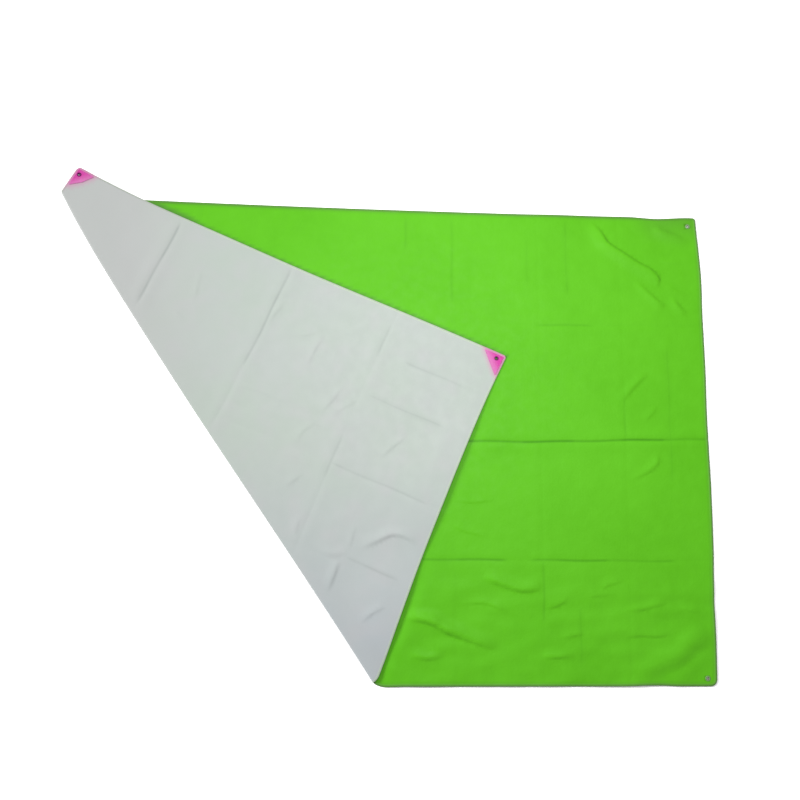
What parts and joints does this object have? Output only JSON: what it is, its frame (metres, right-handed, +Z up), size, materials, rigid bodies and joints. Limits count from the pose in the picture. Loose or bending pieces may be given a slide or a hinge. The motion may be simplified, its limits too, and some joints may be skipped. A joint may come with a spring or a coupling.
{
  "type": "emergency foil blanket",
  "caption": "Rectangular reusable emergency foil blanket, green on one face and silver on the other, laid flat with one end folded over diagonally; eyelets in patched corners.",
  "frame": {"origin": "on the surface that the blanket lies on, under the middle of the box around it", "axes": "+X to the reader's right along the lower layer's long edges, +Y away from the reader, +Z up"},
  "size_m": [1.9284, 1.4828, 0.0115],
  "materials": {
    "green_face": "coated woven laminate, satin",
    "silver_face": "matt metallised film",
    "corner_patch": "matt woven tape cloth",
    "eyelet_metal": "satin"
  },
  "bodies": {
    "root": {"blanket_sheet": "green_face", "patch_flap_tip": "corner_patch", "patch_flap_middle": "corner_patch", "patch_right_top": "corner_patch", "patch_right_bottom": "corner_patch", "eyelet_flap_tip": "eyelet_metal", "eyelet_flap_middle": "eyelet_metal", "eyelet_right_top": "eyelet_metal", "eyelet_right_bottom": "eyelet_metal"}
  },
  "joints": []
}
